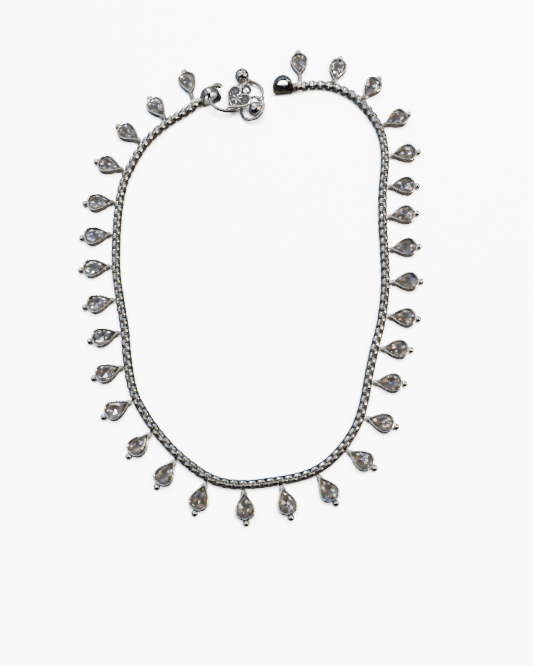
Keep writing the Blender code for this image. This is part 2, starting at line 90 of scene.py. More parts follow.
# The chain rolls this way and that along its length, by so many degrees.
CHAIN_SWAY = 5
CHAIN_SWAY_LINKS = 9
# A link's edges across its band are longer than this, and those round its rims are level.
LEVEL_WITHIN = MM / 9

# Drops: the setting's outline, its stone, the bead on its wide end and the rings at its tip.
LINKS_PER_DROP = 8
DROP_LENGTH = 6.1 * MM
DROP_WIDTH = 4.3 * MM
PEAR_SHARPNESS = 1.25
# The outline draws in this many times its inset at the narrow tip.
PEAR_TIP_SHARE = 1.4
DROP_LEANS = [
    -24, -4, -2, 3, 9, 8, 4, 5, 8, 12, 4, 10, 8, 9, 5, 8,
    6, 7, 4, 9, 12, 5, 6, 6, 10, 8, 9, 4, 12, 3, -13,
]
RIM_STEPS = 92
STONE_SIDES = 16
STONE_MIDDLE = 0.58
FACET_SHARP_ANGLE = 4
SAME_FACET_ANGLE = 1.5
BEAD_DIAMETER = 1.52 * MM
BEAD_HEIGHT = 0.85 * MM
BEAD_SINK = 0.22 * MM
LONG_LOOP_LENGTH = 1.9 * MM
GAP = 0.3 * MM
JUMP_RING_DIAMETER = 1.5 * MM
JUMP_RING_WIRE = 0.24 * MM
JUMP_RING_PLACE = (-0.72 * MM, 0, 0.9 * MM)
END_RING_DIAMETER = 1.75 * MM
END_RING_WIRE = 0.34 * MM
END_RING_PLACE = (-1.75 * MM, 0, 1.15 * MM)

# Bails: arched bands that lean, each with a collar for the chain's end.
BAIL_LENGTH = 5.1 * MM
BAIL_HEIGHT = 4.2 * MM
BAIL_BAND = 2.1 * MM
BAIL_CORNER = 0.8 * MM
BAIL_STEPS = 44
BAIL_FOOT_STEPS = 8
COLLAR_DIAMETER = 2.1 * MM
COLLAR_LENGTH = 0.9 * MM
NEAR_BAIL_TURN = 24
NEAR_BAIL_LEAN = 13
FAR_BAIL_TURN = 3
FAR_BAIL_LEAN = -28
FAR_BAIL_DISH = 1.0 * MM

# S-hook: round wire with its left tip hammered flat.
HOOK_WIRE = 0.86 * MM
HOOK_STEPS = 110
HOOK_FLAT_LENGTH = 2.4 * MM
HOOK_FLAT_SPREAD = 0.75
HOOK_FLAT_THINNING = 0.3
HOOK_TIP_LENGTH = 0.35 * MM
HOOK_SLOPE = 8
HOOK_LEVEL = 1.75 * MM
HOOK_LEVEL_AT_X = -2.9 * MM
HOOK_ROUTE = [
    (-7.5, 46.7), (-8.7, 47.0), (-10.0, 46.5), (-10.8, 45.1), (-10.7, 43.4), (-10.1, 41.9),
    (-8.9, 40.8), (-7.3, 40.3), (-5.6, 40.3), (-4.1, 40.8), (-3.0, 41.9), (-2.8, 43.4),
    (-3.1, 45.0), (-3.1, 46.6), (-2.4, 47.9), (-1.0, 48.6), (0.6, 48.3), (1.8, 47.2),
    (2.1, 45.8), (1.6, 44.4), (0.8, 43.7),
]

# Ring, heart tag and bells.
RING_DIAMETER = 6.7 * MM
RING_WIRE = 0.78 * MM
RING_PLACE = (-0.3, 41.25)
RING_TILT = 24
RING_LIFT = 0.1 * MM
HEART_LENGTH = 6.5 * MM
HEART_WIDTH = 6.5 * MM
HEART_THICKNESS = 0.75 * MM
HEART_RIM = 0.42 * MM
HEART_RECESS = 0.25 * MM
HEART_STEPS = 72
HEART_TURN = 48
HEART_LEVEL = 2.95 * MM
HEART_CLEFT = 0.88
FLOWER_PLACE = 3.75 * MM
PETAL_REACH = 0.9 * MM
DOT_REACH = 1.78 * MM
RELIEF_HEIGHT = 0.17 * MM
EYELET_DIAMETER = 2.7 * MM
EYELET_HOLE = 1.25 * MM
EYELET_THICKNESS = 0.45 * MM
EYELET_OVERLAP = 0.1 * MM
EYELET_PLACE = (-1.836, 45.28)
TAG_RING_DIAMETER = 3.6 * MM
TAG_RING_WIRE = 0.4 * MM
TAG_RING_DIP = 45
TAG_ON_HOOK = (-3.1, 46.4)
BELL_DIAMETER = 3.5 * MM
BELL_WALL = 0.3 * MM
BELL_SLIT = 0.45 * MM
BELL_SLIT_FROM = 0.14
BELL_SEAM = 0.1 * MM
BELL_SEAM_WIRE = 0.16 * MM
BELL_LOOP_DIAMETER = 2.1 * MM
BELL_LOOP_WIRE = 0.36 * MM
BELL_LOOP_SINK = 0.25 * MM
BELL_1_ON_HOOK = (-0.9, 48.6)
BELL_1_SIDE = 142
BELL_2_ROUND_RING = 35
BELL_2_CLEARANCE = 0.02 * MM
BELL_2_MOST_SWING = 60


class Value:
    """A number on a shader socket, which takes part in ordinary sums."""

    def __init__(self, shading, socket):
        self.shading = shading
        self.socket = socket

    def sum_node(self, operation, first, second=None):
        inputs = {0: first} if second is None else {0: first, 1: second}
        return self.shading.node("ShaderNodeMath", {"operation": operation}, inputs)

    def __add__(self, other):
        return self.sum_node("ADD", self, other)

    def __radd__(self, other):
        return self.sum_node("ADD", other, self)

    def __sub__(self, other):
        return self.sum_node("SUBTRACT", self, other)

    def __rsub__(self, other):
        return self.sum_node("SUBTRACT", other, self)

    def __mul__(self, other):
        return self.sum_node("MULTIPLY", self, other)

    def __rmul__(self, other):
        return self.sum_node("MULTIPLY", other, self)

    def __truediv__(self, other):
        return self.sum_node("DIVIDE", self, other)

    def __mod__(self, other):
        return self.sum_node("FLOORED_MODULO", self, other)

    def above(self, other):
        return self.sum_node("MAXIMUM", self, other)

    def cosine(self):
        return self.sum_node("COSINE", self)

    def floor(self):
        return self.sum_node("FLOOR", self)

    def between(self, low, high):
        """0 at low, 1 at high and smooth in between."""
        settings = {"interpolation_type": "SMOOTHSTEP"}
        inputs = {"Value": self, "From Min": low, "From Max": high}
        return self.shading.node("ShaderNodeMapRange", settings, inputs)


class Shading:
    """The nodes of a material or of the world round the object."""

    def __init__(self, owner, surface_name, constants):
        owner.use_nodes = True
        self.owner = owner
        self.tree = owner.node_tree
        self.surface = self.tree.nodes[surface_name]
        for socket, value in constants.items():
            self.surface.inputs[socket].default_value = value

    def node(self, kind, settings, inputs, output=0):
        made = self.tree.nodes.new(kind)
        for name, value in settings.items():
            if name == "stops":
                ramp = made.color_ramp.elements
                while len(ramp) < len(value):
                    ramp.new(1.0)
                for stop, (place, colour) in zip(ramp, value):
                    stop.position = place
                    stop.color = (*colour, 1.0)
            else:
                setattr(made, name, value)
        for name, value in inputs.items():
            if isinstance(value, Value):
                self.tree.links.new(value.socket, made.inputs[name])
            elif isinstance(value, tuple) and made.inputs[name].type == "RGBA":
                made.inputs[name].default_value = (*value, 1.0)
            else:
                made.inputs[name].default_value = value
        return Value(self, made.outputs[output])

    def place(self):
        return self.node("ShaderNodeTexCoord", {}, {}, "Object")

    def axis(self, vector, name):
        return self.node("ShaderNodeSeparateXYZ", {}, {"Vector": vector}, name)

    def noise(self, scale, detail=2.0, vector=None):
        inputs = {"Vector": vector or self.place(), "Scale": scale, "Detail": detail}
        return self.node("ShaderNodeTexNoise", {}, inputs, "Fac")

    def mixed(self, share, first, second):
        """The first colour where share is 0 and the second where it is 1."""
        inputs = {0: share, 6: first, 7: second}
        return self.node("ShaderNodeMix", {"data_type": "RGBA"}, inputs, 2)

    def bump(self, height, distance=1.0, strength=1.0):
        """A normal for a height in metres."""
        inputs = {"Height": height, "Distance": distance, "Strength": strength}
        return self.node("ShaderNodeBump", {}, inputs)

    def feed(self, socket, value):
        self.tree.links.new(value.socket, self.surface.inputs[socket])


def finish_for(name, constants):
    return Shading(bpy.data.materials.new(name), "Principled BSDF", constants)


def silver(name, tone, roughness, tarnish, stain_share):
    """Polished silver with soft stained patches, darkened further with painted shade and some
    tarnishing where a piece's attribute says so.
    """
    finish = finish_for(name, {"Metallic": 1.0, "Roughness": roughness})
    place = finish.place()
    # How much painted shade, with some tarnishing, the piece has at each point.
    shade_and_tarnish_share = finish.node("ShaderNodeAttribute", {"attribute_name": "tarnish"}, {}, "Fac")
    patches = finish.noise(1500.0, 3.0, place).between(0.2, 0.65)
    darkening = finish.noise(900.0, 4.0, place).between(0.45, 0.8) * stain_share
    # The darker of the noise staining and the piece's painted shade darkens the silver.
    darkening = darkening.above(shade_and_tarnish_share * (patches * 0.45 + 0.55))
    finish.feed("Base Color", finish.mixed(darkening, tone, tarnish))
    finish.feed("Roughness", darkening * 0.26 + finish.noise(2600.0, 2.0, place) * 0.06
                + (roughness - 0.03))
    ripple = finish.noise(1100.0, 2.0, place) * 0.00003
    finish.feed("Normal", finish.bump(ripple + finish.noise(5200.0, 3.0, place) * 0.000005))
    return finish.owner


def stone_finish():
    """Foil-backed cut stone: smoky facets with painted reflections, a few small painted coloured
    glints and a painted shadow round the edge.
    """
    finish = finish_for("foil_backed_stone", {
        "Metallic": 0.93, "Roughness": 0.15, "Coat Weight": 0.5, "Coat Roughness": 0.02,
        "Coat IOR": 1.6,
    })
    seed = finish.node("ShaderNodeAttribute", {"attribute_name": "stone_number"}, {}, "Fac")
    spot = finish.node("ShaderNodeUVMap", {"uv_map": "stone_map"}, {})
    across = finish.axis(spot, "Y")
    along = finish.axis(spot, "X")
    turn = finish.node("ShaderNodeMath", {"operation": "ARCTAN2"}, {0: across, 1: along})
    reach = finish.node("ShaderNodeVectorMath", {"operation": "LENGTH"}, {0: spot}, 1)

    def pyramid(sides, offset, slope):
        """Height of a pyramid of flat facets, and the number of the facet."""
        step = math.tau / sides
        shifted = turn + (offset * step + math.tau)
        facet = (shifted / step).floor()
        from_middle = shifted % step - step / 2
        return from_middle.cosine() * reach * slope, facet

    main, main_facet = pyramid(8, 0.0, 0.62)
    lower, lower_facet = pyramid(8, 0.5, 0.95)
    lower = lower - 0.17
    height = main.above(lower)
    is_lower = finish.node("ShaderNodeMath", {"operation": "GREATER_THAN"}, {0: lower, 1: main})
    facet = main_facet + is_lower * (lower_facet + 11.3 - main_facet) + seed * 37.1
    luck = finish.node("ShaderNodeTexWhiteNoise", {"noise_dimensions": "1D"}, {"W": facet}, 0)
    # Each facet gets its own tone, from dark to pale smoky grey and a few blue: painted
    # reflections of the room over the stone's smoky colour.
    colour = finish.node("ShaderNodeValToRGB", {"stops": [
        (0.0, (0.03, 0.026, 0.023)), (0.3, (0.085, 0.071, 0.062)), (0.6, (0.14, 0.12, 0.107)),
        (0.85, (0.20, 0.175, 0.16)), (0.95, (0.11, 0.14, 0.25)),
    ]}, {"Fac": luck})
    # Painted dark blue reflection towards the middle, on some of the facets.
    middle = reach.between(0.45, 0.2)
    colour = finish.mixed(middle * luck, colour, (0.035, 0.045, 0.075))
    # Small painted glints: a few cells of a mosaic over the stone are painted in pure bright
    # colours where they would catch the light.
    moved = finish.node("ShaderNodeVectorMath", {"operation": "ADD"}, {0: spot, 1: seed * 3.7})
    mosaic = finish.node("ShaderNodeTexVoronoi", {}, {"Vector": moved, "Scale": 5.5}, "Color")
    glint_cells = finish.axis(mosaic, "X").between(0.88, 0.92) * reach.between(0.85, 0.55)
    painted_glint = finish.node("ShaderNodeValToRGB", {"stops": [
        (0.0, (1.0, 0.93, 0.80)), (0.4, (0.92, 0.96, 1.0)), (0.6, (0.30, 0.42, 0.95)),
        (0.86, (0.95, 0.45, 0.22)), (0.985, (0.42, 0.85, 0.40)),
    ]}, {"Fac": finish.axis(mosaic, "Y")})
    colour = finish.mixed(glint_cells, colour, painted_glint)
    # Painted shadow in a band round the stone's edge, just inside the bezel.
    edge = reach.between(0.74, 0.95)
    finish.feed("Base Color", finish.mixed(edge, colour, (0.07, 0.06, 0.054)))
    finish.feed("Normal", finish.bump(height * 0.0013))
    return finish.owner


def mesh_of(bm, name, look, nodes=()):
    """Makes bm a piece of the object, with its normals out and its material on."""
    bmesh.ops.recalc_face_normals(bm, faces=bm.faces)
    mesh = bpy.data.meshes.new(name)
    bm.to_mesh(mesh)
    bm.free()
    piece = bpy.data.objects.new(name, mesh)
    bpy.context.scene.collection.objects.link(piece)
    mesh.materials.append(look)
    mesh.shade_smooth()
    mesh.set_sharp_from_angle(angle=math.radians(SHARP_ANGLE))
    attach(piece, "root")
    if nodes:
        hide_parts(*nodes)
    return piece


def verts_in(geom):
    return [item for item in geom if isinstance(item, bmesh.types.BMVert)]


def edges_in(geom):
    return [item for item in geom if isinstance(item, bmesh.types.BMEdge)]


def smooth_path(points, samples=12):
    """A Catmull-Rom curve through the points, as a dense list."""
    ends = [2 * points[0] - points[1]] + points + [2 * points[-1] - points[-2]]
    path = []
    for a, b, c, d in zip(ends, ends[1:], ends[2:], ends[3:]):
        for step in range(samples):
            t = step / samples
            path.append(
                0.5 * (2 * b + (c - a) * t + (2 * a - 5 * b + 4 * c - d) * t * t
                       + (3 * b - a - 3 * c + d) * t * t * t)
            )
    return path + [points[-1]]


class Path:
    """A curve measured by the length along it."""

    def __init__(self, points):
        self.points = smooth_path(points)
        self.marks = [0.0]
        for a, b in zip(self.points, self.points[1:]):
            self.marks.append(self.marks[-1] + (b - a).length)
        self.length = self.marks[-1]

    def at(self, distance):
        index = 0
        while index < len(self.marks) - 2 and self.marks[index + 1] < distance:
            index += 1
        span = self.marks[index + 1] - self.marks[index]
        share = min(max((distance - self.marks[index]) / span, 0.0), 1.0)
        return self.points[index].lerp(self.points[index + 1], share)

    def direction(self, distance):
        ahead = self.at(min(distance + DIRECTION_REACH, self.length))
        return (ahead - self.at(max(distance - DIRECTION_REACH, 0.0))).normalized()

    def nearest(self, x, y):
        flat = Vector((x, y))
        index = min(range(len(self.points)), key=lambda i: (self.points[i].xy - flat).length)
        return self.marks[index]


def frame_at(place, forward, up):
    """A matrix with X along forward, Z near up and its origin at place."""
    side = up.cross(forward).normalized()
    top = forward.cross(side)
    turn = Matrix((forward, side, top)).transposed().to_4x4()
    return Matrix.Translation(place) @ turn


def swept(bm, frames, segments):
    """A tube through the frames, whose X axes point along it. Their scale is its radius."""
    across = Matrix.Rotation(math.pi / 2, 4, "Y")
    ring = bmesh.ops.create_circle(bm, segments=segments, radius=1.0, cap_ends=True,
                                   matrix=frames[0] @ across)["verts"]
    edges = list({edge for vert in ring for edge in vert.link_edges})
    for before, after in zip(frames, frames[1:]):
        grown = bmesh.ops.extrude_edge_only(bm, edges=edges)["geom"]
        edges = edges_in(grown)
        bmesh.ops.transform(bm, matrix=after @ before.inverted(), verts=verts_in(grown))
    bmesh.ops.edgeloop_fill(bm, edges=edges)


def wire_ring(bm, diameter, wire, place, steps=40, sides=12, stretch=1.0):
    """A closed wire ring in the XY plane of place, drawn out along X by stretch."""
    ring = bmesh.ops.create_circle(bm, segments=sides, radius=wire / 2,
                                   matrix=Matrix.Translation(((diameter - wire) / 2, 0, 0))
                                   @ Matrix.Rotation(math.pi / 2, 4, "X"))["verts"]
    edges = list({edge for vert in ring for edge in vert.link_edges})
    known = set(bm.verts) - set(ring)
    bmesh.ops.spin(bm, geom=ring + edges, axis=(0, 0, 1), angle=math.tau, steps=steps,
                   use_merge=True)
    made = [vert for vert in bm.verts if vert not in known]
    for vert in made:
        vert.co.x += math.copysign(1, vert.co.x) * (stretch - 1) * diameter / 2
    bmesh.ops.transform(bm, matrix=place, verts=made)


def flat_route(route, height):
    return [Vector((x * MM, y * MM, height)) for x, y in route]


def layout_shift():
    """From the route's own frame to the model's, read from where the model's chain is."""
    low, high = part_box("chain")
    points = chain_path.points
    left, right = min(p.x for p in points), max(p.x for p in points)
    front, back = min(p.y for p in points), max(p.y for p in points)
    return Vector(((low.x + high.x - left - right) / 2, (low.y + high.y - front - back) / 2, 0))


chain_path = Path(flat_route(CHAIN_ROUTE, CHAIN_DIAMETER / 2))
SHIFT = layout_shift()
TO_MODEL = Matrix.Translation(SHIFT)


def is_outside(spot):
    """Whether a point of the link at the origin lies on its outer face, not in its hole."""
    return (abs(spot.x) > LINK_LENGTH / 2 - LINK_WALL / 2
            or abs(spot.y) > LINK_HEIGHT / 2 - LINK_WALL / 2)


def link_template():
    """One box link round the origin: X along the chain, Y its height and Z its band."""
    bm = bmesh.new()
    bmesh.ops.create_cube(bm, size=1.0,
                          matrix=Matrix.Diagonal((LINK_LENGTH, LINK_HEIGHT, LINK_BAND, 1)))
    ends = [face for face in bm.faces if abs(face.normal.z) > 0.5]
    bmesh.ops.delete(bm, geom=ends, context="FACES")
    corners = [edge for edge in bm.edges
               if abs((edge.verts[0].co - edge.verts[1].co).z) > LEVEL_WITHIN]
    bmesh.ops.bevel(bm, geom=corners, offset=LINK_CORNER, segments=2, profile=0.5,
                    affect="EDGES", material=-1)
    bmesh.ops.recalc_face_normals(bm, faces=bm.faces)
    bmesh.ops.solidify(bm, geom=bm.faces[:], thickness=LINK_WALL)
    rims = [edge for edge in bm.edges
            if is_outside(edge.verts[0].co) and is_outside(edge.verts[1].co)
            and abs(edge.verts[0].co.z - edge.verts[1].co.z) < LEVEL_WITHIN]
    bmesh.ops.bevel(bm, geom=rims, offset=LINK_EDGE, offset_type="WIDTH", segments=1,
                    profile=0.5, affect="EDGES", material=-1)
    mesh = bpy.data.meshes.new("link")
    bm.to_mesh(mesh)
    bm.free()
    return mesh


def make_chain(look):
    """Box links a pitch apart, each turned a quarter from the last, through one another."""
    template = link_template()
    bm = bmesh.new()
    count = int(chain_path.length / LINK_PITCH)
    start = (chain_path.length - (count - 1) * LINK_PITCH) / 2
    for index in range(count):
        along = start + index * LINK_PITCH
        place = frame_at(chain_path.at(along), chain_path.direction(along), Vector((0, 0, 1)))
        sway = (CHAIN_SWAY * math.sin(index / CHAIN_SWAY_LINKS)
                + chance.uniform(-LINK_LOOSENESS, LINK_LOOSENESS))
        roll = Matrix.Rotation(math.radians(LINK_ROLL + 90 * (index % 2) + sway), 4, "X")
        yaw = Matrix.Rotation(math.radians(chance.uniform(-LINK_YAW, LINK_YAW)), 4, "Z")
        first = len(bm.verts)
        bm.from_mesh(template)
        bm.verts.ensure_lookup_table()
        bmesh.ops.transform(bm, matrix=TO_MODEL @ place @ roll @ yaw, verts=bm.verts[first:])
    links = mesh_of(bm, "chain_links", look, ["chain"])
    links.data.set_sharp_from_angle(angle=math.radians(LINK_SHARP_ANGLE))
    # Painted shade in the links' holes: each point inside a link's hole takes the full dark tone.
    hole_shade = [0.0 if is_outside(vert.co) else 1.0 for vert in template.vertices]
    layer = links.data.attributes.new("tarnish", "FLOAT", "POINT")
    layer.data.foreach_set("value", hole_shade * count)


def pear_half_width(turn):
    return math.sin(turn) * math.sin(turn / 2) ** PEAR_SHARPNESS


PEAR_WIDEST = max(pear_half_width(math.pi * step / 180) for step in range(181))


def pear_point(turn, inset):
    """A point on the pear's outline, inset from it all round. The tip is near the origin."""
    low = inset * PEAR_TIP_SHARE
    length = DROP_LENGTH - inset - low
    half = turn if turn <= math.pi else math.tau - turn
    side = 1 if turn <= math.pi else -1
    x = low + length * (1 - math.cos(turn)) / 2
    y = side * (DROP_WIDTH / 2 - inset) * pear_half_width(half) / PEAR_WIDEST
    return Vector((x, y, 0))


def even_turns(count):
    """Turns that space count points evenly round the pear."""
    dense = [math.tau * step / 720 for step in range(721)]
    marks = [0.0]
    for a, b in zip(dense, dense[1:]):
        marks.append(marks[-1] + (pear_point(b, 0) - pear_point(a, 0)).length)
    turns = []
    index = 0
    for step in range(count):
        wanted = marks[-1] * step / count
        while marks[index + 1] < wanted:
            index += 1
        share = (wanted - marks[index]) / (marks[index + 1] - marks[index])
        turns.append(dense[index] + share * (dense[index + 1] - dense[index]))
    return turns


# Each ring of the setting's wall from the foot up over the rim and down to the seat: its inset
# and height in mm, how far every other point stands out as a tooth, and its darkening:
# painted shade with some tarnishing, most just under the rim and in the seat, and low down.
SETTING_RINGS = [
    (0.06, 0.00, 0.00, 0.7), (0.03, 0.06, 0.00, 0.6), (0.00, 0.80, 0.00, 0.5),
    (-0.02, 1.40, 0.00, 0.4), (0.03, 1.46, 0.00, 1.0), (0.02, 1.52, 0.07, 0.6),
    (0.01, 1.58, 0.09, 0.25), (0.02, 1.80, 0.10, 0.05), (0.10, 1.88, 0.05, 0.0),
    (0.20, 1.90, 0.00, 0.0), (0.28, 1.85, 0.00, 0.1), (0.33, 1.66, 0.00, 1.0),
    (0.37, 1.00, 0.00, 1.0),
]


def make_wall(bm, tarnish):
    """The pear-shaped wall, closed below and at the seat, with a milled rim."""
    turns = even_turns(RIM_STEPS)
    number = bm.verts.layers.int.new("number")
    verts = bmesh.ops.create_circle(bm, segments=RIM_STEPS, radius=1.0, cap_ends=True)["verts"]
    for index, vert in enumerate(verts):
        vert[number] = index
    edges = list({edge for vert in verts for edge in vert.link_edges})
    for ring, (inset, height, tooth, dark_share) in enumerate(SETTING_RINGS):
        if ring:
            grown = bmesh.ops.extrude_edge_only(bm, edges=edges)["geom"]
            edges, verts = edges_in(grown), verts_in(grown)
        for vert in verts:
            is_tooth = vert[number] % 2 == 1
            reach = (inset - tooth if is_tooth else inset) * MM
            vert.co = pear_point(turns[vert[number]], reach) + Vector((0, 0, height * MM))
            # Points between the teeth get more painted shade, in the notches.
            vert[tarnish] = dark_share if is_tooth else min(1.0, dark_share + 6 * tooth)
    bmesh.ops.edgeloop_fill(bm, edges=edges)


def stalk_frames(stations):
    """Frames along X for a soldered stalk, a fifth wider than it is high."""
    return [frame_at(Vector((x * MM, 0, z * MM)), Vector((1, 0, 0)), Vector((0, 0, 1)))
            @ Matrix.Diagonal((radius * MM, radius * MM * 1.2, radius * MM, 1))
            for x, z, radius in stations]


# Solder under the bead and at the tip: each station's x, height and radius in mm.
BEAD_NECK = [(5.6, 0.8, 0.62), (6.0, 0.82, 0.55), (6.3, 0.85, 0.4)]
SHORT_STALK = [(1.2, 0.8, 0.72), (0.6, 0.82, 0.66), (0.1, 0.88, 0.55), (-0.2, 0.92, 0.38)]
LONG_STALK = [
    (0.55, 1.0, 0.55), (0.1, 1.0, 0.5), (-0.3, 1.02, 0.42), (-0.36, 1.02, 0.5),
    (-0.62, 1.04, 0.42), (-0.68, 1.04, 0.5), (-0.95, 1.06, 0.4), (-1.1, 1.06, 0.3),
]


def make_setting(name, place, at_end, look, node):
    """The pear setting with its milled rim, bead, solder neck and ring through the chain."""
    bm = bmesh.new()
    tarnish = bm.verts.layers.float.new("tarnish")
    make_wall(bm, tarnish)
    swept(bm, stalk_frames(BEAD_NECK), 12)
    swept(bm, stalk_frames(LONG_STALK if at_end else SHORT_STALK), 12)
    # Painted shade low down: the solder neck and stalk, below the rim, are darkened.
    for vert in bm.verts:
        if vert[tarnish] == 0 and vert.co.z < 1.5 * MM:
            vert[tarnish] = 0.8
    bead = Matrix.Translation((DROP_LENGTH + BEAD_DIAMETER / 2 - BEAD_SINK, 0, BEAD_HEIGHT))
    bmesh.ops.create_uvsphere(bm, u_segments=20, v_segments=14, radius=BEAD_DIAMETER / 2,
                              matrix=bead)
    if at_end:
        flat_ring = Matrix.Translation(END_RING_PLACE) @ Matrix.Rotation(0.45, 4, "X")
        wire_ring(bm, END_RING_DIAMETER, END_RING_WIRE, flat_ring, 24, 8)
    else:
        upright = (Matrix.Translation(JUMP_RING_PLACE)
                   @ Matrix.Rotation(math.pi / 2 - 0.5, 4, "X"))
        wire_ring(bm, JUMP_RING_DIAMETER, JUMP_RING_WIRE, upright, 20, 8)
    bmesh.ops.transform(bm, matrix=place, verts=bm.verts)
    mesh_of(bm, name, look, [node])


def make_stone(name, place, number, look):
    """A pear-cut stone with a flat foiled back, a girdle, crown facets and a table."""
    bm = bmesh.new()
    turns = even_turns(STONE_SIDES)
    # Each ring of corners: its inset and height in mm, and the turns that it stands at.
    shapes = [(0.40, 1.10, turns), (0.40, 1.52, turns), (0.69, 1.76, turns[1::2]),
              (0.98, 1.87, turns[::2])]
    points = [pear_point(turn, inset * MM) + Vector((0, 0, height * MM))
              for inset, height, some in shapes for turn in some]
    for point in points:
        bmesh.ops.create_vert(bm, co=point)
    bmesh.ops.convex_hull(bm, input=bm.verts[:])
    loose = [vert for vert in bm.verts if not vert.link_faces]
    bmesh.ops.delete(bm, geom=loose, context="VERTS")
    bmesh.ops.dissolve_limit(bm, angle_limit=math.radians(SAME_FACET_ANGLE), verts=bm.verts[:],
                             edges=bm.edges[:])
    stone_map = bm.loops.layers.uv.new("stone_map")
    middle = DROP_LENGTH * STONE_MIDDLE
    for face in bm.faces:
        for loop in face.loops:
            spot = loop.vert.co
            loop[stone_map].uv = ((spot.x - middle) / (DROP_LENGTH / 2), spot.y / (DROP_WIDTH / 2))
    bmesh.ops.transform(bm, matrix=place, verts=bm.verts)
    stone = mesh_of(bm, name, look)
    stone.data.set_sharp_from_angle(angle=math.radians(FACET_SHARP_ANGLE))
    tag = stone.data.attributes.new("stone_number", "FLOAT", "POINT")
    tag.data.foreach_set("value", [float(number)] * len(stone.data.vertices))


def make_drops(silver_look, stone_look):
    pitch = LINKS_PER_DROP * LINK_PITCH
    count = int(chain_path.length / pitch) + 1
    start = (chain_path.length - (count - 1) * pitch) / 2
    for index in range(count):
        at_end = index in (0, count - 1)
        reach = LONG_LOOP_LENGTH - GAP if at_end else 0
        along = start + index * pitch
        forward = chain_path.direction(along)
        outward = Matrix.Rotation(math.radians(DROP_LEANS[index]), 3, "Z") @ Vector(
            (forward.y, -forward.x, 0))
        tip = chain_path.at(along) + outward * (CHAIN_DIAMETER / 2 + GAP + reach)
        turn = Matrix.Rotation(math.atan2(outward.y, outward.x), 4, "Z")
        place = TO_MODEL @ Matrix.Translation((tip.x, tip.y, 0)) @ turn
        number = f"{index + 1:02d}"
        make_setting(f"setting_{number}", place, at_end, silver_look, f"drop_{number}")
        make_stone(f"stone_{number}", place, index + 1, stone_look)


def bail_outline(step, inset):
    """A point on the bail's arch, seen along its hole: a flat foot and a round top."""
    half = BAIL_LENGTH / 2 - inset
    if step < BAIL_FOOT_STEPS:
        share = step / (BAIL_FOOT_STEPS - 1)
        reach = half - max(0.0, BAIL_CORNER - inset) * 0.6
        return Vector((-reach + 2 * reach * share, 0, inset))
    turn = math.pi * (step - BAIL_FOOT_STEPS) / (BAIL_STEPS - BAIL_FOOT_STEPS - 1)
    low = max(BAIL_CORNER, inset)
    rise = BAIL_HEIGHT - inset - low
    return Vector((half * math.cos(turn), 0, low + rise * math.sin(turn)))


# Round the band's section: each point's inset in mm and its place across, as a share.
BAIL_SECTION = [
    (0.10, -0.5), (0.02, -0.47), (0.0, -0.42), (0.02, -0.37), (0.07, -0.34), (0.05, -0.29),
    (0.02, 0.0), (0.05, 0.29), (0.07, 0.34), (0.02, 0.37), (0.0, 0.42), (0.02, 0.47), (0.10, 0.5),
    (0.38, 0.5), (0.43, 0.48), (0.45, 0.40), (0.45, -0.40), (0.43, -0.48), (0.38, -0.5),
]

# Along the collar: each station's x in mm and its radius, as a share.
COLLAR_STATIONS = [(0.0, 0.92), (0.06, 1.0), (0.42, 1.0), (0.5, 0.9), (0.58, 1.0), (0.86, 1.0),
                   (1.15, 0.8)]


def make_bail(name, chain_end, turn, lean, dish, look):
    """An arched band with a fine ridge along each edge, and the collar for the chain.

    Its hole narrows by dish on the side that leans away.
    """
    bm = bmesh.new()
    number = bm.verts.layers.int.new("number")
    tarnish = bm.verts.layers.float.new("tarnish")
    verts = bmesh.ops.create_circle(bm, segments=BAIL_STEPS, radius=1.0)["verts"]
    for index, vert in enumerate(verts):
        vert[number] = index
    first = list({edge for vert in verts for edge in vert.link_edges})
    edges = first
    for ring, (inset, across) in enumerate(BAIL_SECTION):
        if ring:
            grown = bmesh.ops.extrude_edge_only(bm, edges=edges)["geom"]
            edges, verts = edges_in(grown), verts_in(grown)
        for vert in verts:
            back = max(0.0, 0.5 - across) if inset > 0.3 else 0.0
            vert.co = bail_outline(vert[number], inset * MM + dish * back)
            vert.co.y = across * BAIL_BAND
            # Painted shade: the band's inner face, in its hole, is darkened fully and the rest of
            # the band partly.
            vert[tarnish] = 1.0 if inset > 0.4 else 0.35
    bmesh.ops.bridge_loops(bm, edges=first + edges)
    middle = -BAIL_LENGTH / 2 - COLLAR_LENGTH
    collar = [frame_at(Vector((middle + x * MM, 0, CHAIN_DIAMETER / 2)), Vector((1, 0, 0)),
                       Vector((0, 0, 1))) @ Matrix.Scale(COLLAR_DIAMETER / 2 * size, 4)
              for x, size in COLLAR_STATIONS]
    swept(bm, collar, 24)
    heading = Matrix.Rotation(math.radians(turn), 4, "Z")
    offset = heading @ Vector((BAIL_LENGTH / 2 + COLLAR_LENGTH + GAP, 0, 0))
    lean = math.radians(lean)
    axis = CHAIN_DIAMETER / 2
    reach_down = BAIL_BAND / 2 * abs(math.sin(lean)) + axis * math.cos(lean)
    place = Matrix.Translation((chain_end.x + offset.x, chain_end.y + offset.y, reach_down))
    place = place @ heading @ Matrix.Rotation(-lean, 4, "X") @ Matrix.Translation((0, 0, -axis))
    bmesh.ops.transform(bm, matrix=TO_MODEL @ place, verts=bm.verts)
    mesh_of(bm, f"{name}_band", look, [name])


def hook_level(x):
    return HOOK_LEVEL - (x - HOOK_LEVEL_AT_X) * math.tan(math.radians(HOOK_SLOPE))


hook_path = Path([Vector((x * MM, y * MM, hook_level(x * MM))) for x, y in HOOK_ROUTE])


